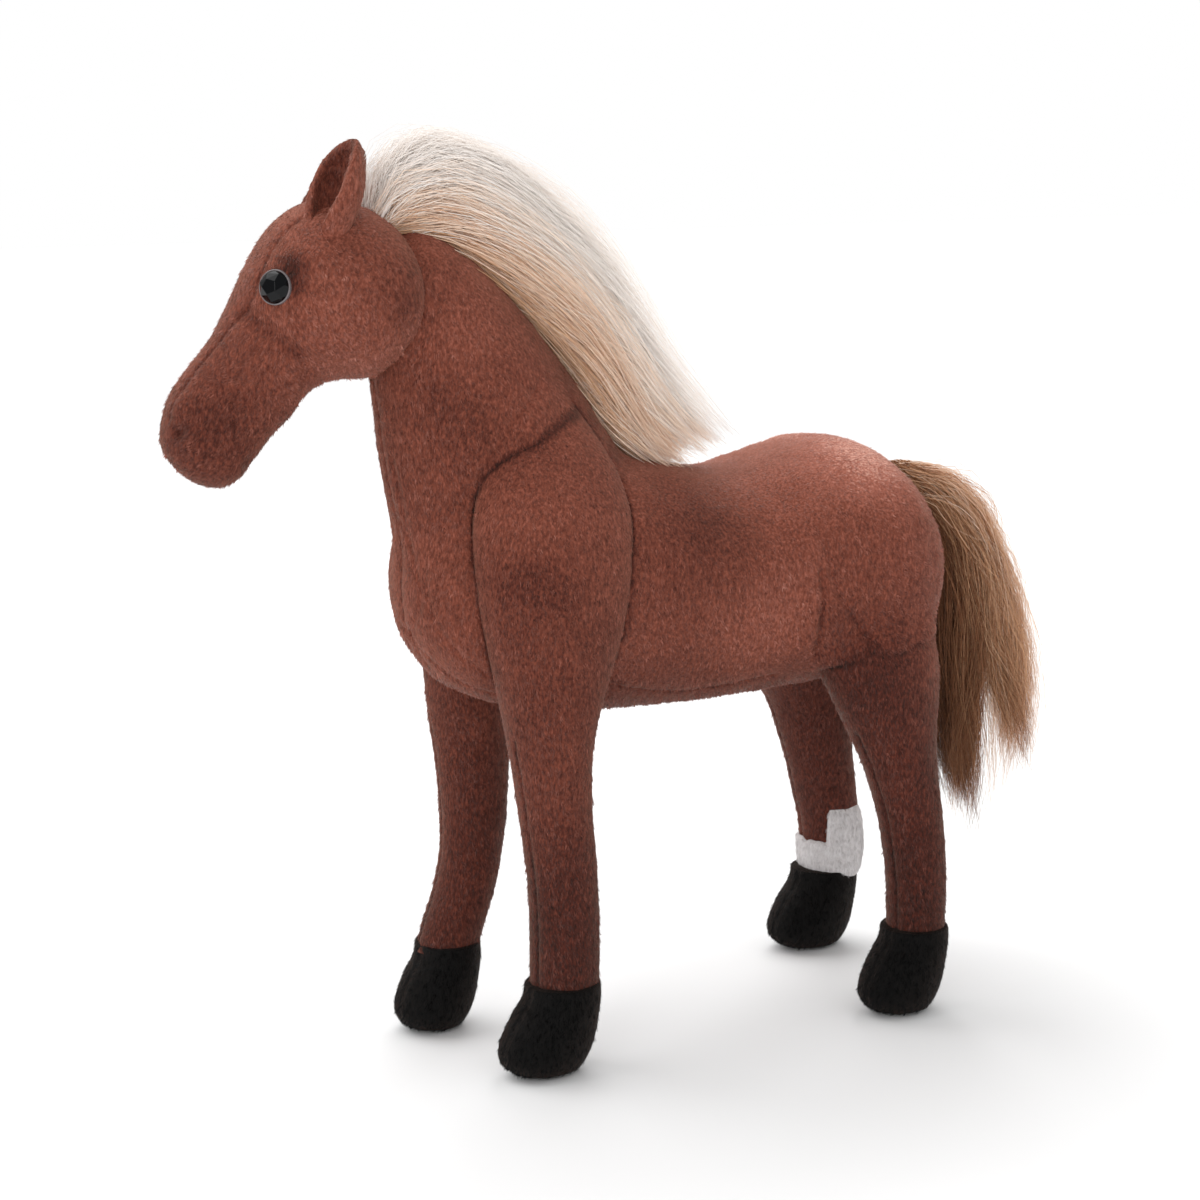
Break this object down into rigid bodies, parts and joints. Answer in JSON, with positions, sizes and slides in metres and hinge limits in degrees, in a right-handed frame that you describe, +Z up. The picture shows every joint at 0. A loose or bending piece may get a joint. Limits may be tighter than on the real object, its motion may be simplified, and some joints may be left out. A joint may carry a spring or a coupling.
{
  "type": "plush horse",
  "caption": "Standing stuffed toy horse in short-pile plush with a long-hair mane and tail, a turning head, folding ears, a lifting tail and sprung legs.",
  "frame": {"origin": "centre of the bounding box at the floor that the hooves stand on", "axes": "+Z up; the horse faces -Y, so +Y runs from its nose to its tail; +X is its left side"},
  "size_m": [0.1348, 0.4352, 0.4079],
  "materials": {
    "brown_plush": "short-pile chestnut plush",
    "black_plush": "short-pile black plush",
    "white_plush": "short-pile white plush",
    "mane_hair": "long-pile faux fur, cream to golden tan",
    "tail_hair": "long-pile faux fur, tan brown",
    "backing_cloth": "knitted fur backing",
    "stuffing": "polyester fibre fill",
    "eye": "polished black safety eye",
    "eye_washer": "plain moulded washer"
  },
  "bodies": {
    "trunk": {"trunk_panel_left": "brown_plush", "trunk_panel_right": "brown_plush", "belly_gusset": "brown_plush", "trunk_stuffing": "stuffing", "neck_panel_left": "brown_plush", "neck_panel_right": "brown_plush", "neck_stuffing": "stuffing", "shoulder_skin_left": "brown_plush", "shoulder_skin_right": "brown_plush", "shoulder_stuffing_left": "stuffing", "shoulder_stuffing_right": "stuffing", "mane_hair": "mane_hair", "mane_strip": "backing_cloth"},
    "head": {"head_panel_left": "brown_plush", "head_panel_right": "brown_plush", "face_gusset": "brown_plush", "head_stuffing": "stuffing", "eye_left": "eye", "eye_right": "eye", "eye_washer_left": "eye_washer", "eye_washer_right": "eye_washer"},
    "ear_left": {"ear_left": "brown_plush", "ear_lining_left": "brown_plush"},
    "ear_right": {"ear_right": "brown_plush", "ear_lining_right": "brown_plush"},
    "leg_fore_left": {"leg_skin_fore_left": "brown_plush", "leg_stuffing_fore_left": "stuffing", "hoof_fore_left": "black_plush"},
    "leg_fore_right": {"leg_skin_fore_right": "brown_plush", "leg_stuffing_fore_right": "stuffing", "hoof_fore_right": "black_plush"},
    "leg_hind_left": {"leg_skin_hind_left": "brown_plush", "leg_stuffing_hind_left": "stuffing", "hoof_hind_left": "black_plush"},
    "leg_hind_right": {"leg_skin_hind_right": "brown_plush", "sock_hind_right": "white_plush", "leg_stuffing_hind_right": "stuffing", "hoof_hind_right": "black_plush"},
    "tail": {"tail_hair": "tail_hair", "tail_strip": "backing_cloth"}
  },
  "joints": [
    {"name": "head_turn", "type": "hinge", "parent": "trunk", "child": "head", "pos_m": [0, -0.14152, 0.33612], "axis": [0, 0, 1], "range_deg": [-12, 25], "stiffness_Nm_per_rad": 1.2},
    {"name": "ear_left_fold", "type": "hinge", "parent": "head", "child": "ear_left", "pos_m": [0.01252, -0.15577, 0.37092], "axis": [0.9467, 0.1669, -0.2756], "range_deg": [0, 35], "stiffness_Nm_per_rad": 0.02},
    {"name": "ear_right_fold", "type": "hinge", "parent": "head", "child": "ear_right", "pos_m": [-0.01775, -0.14822, 0.37092], "axis": [0.7575, -0.5918, 0.2756], "range_deg": [0, 35], "stiffness_Nm_per_rad": 0.02},
    {"name": "tail_lift", "type": "hinge", "parent": "trunk", "child": "tail", "pos_m": [0, 0.14219, 0.2492], "axis": [1, 0, 0], "range_deg": [0, 50]},
    {"name": "leg_fore_left_swing", "type": "hinge", "parent": "trunk", "child": "leg_fore_left", "pos_m": [0.036, -0.07013, 0.167], "axis": [1, 0, 0], "range_deg": [-10, 10], "stiffness_Nm_per_rad": 12},
    {"name": "leg_fore_right_swing", "type": "hinge", "parent": "trunk", "child": "leg_fore_right", "pos_m": [-0.036, -0.07013, 0.167], "axis": [1, 0, 0], "range_deg": [-10, 10], "stiffness_Nm_per_rad": 12},
    {"name": "leg_hind_left_swing", "type": "hinge", "parent": "trunk", "child": "leg_hind_left", "pos_m": [0.04, 0.10087, 0.167], "axis": [1, 0, 0], "range_deg": [-10, 10], "stiffness_Nm_per_rad": 12},
    {"name": "leg_hind_right_swing", "type": "hinge", "parent": "trunk", "child": "leg_hind_right", "pos_m": [-0.04, 0.10087, 0.167], "axis": [1, 0, 0], "range_deg": [-10, 10], "stiffness_Nm_per_rad": 12}
  ]
}
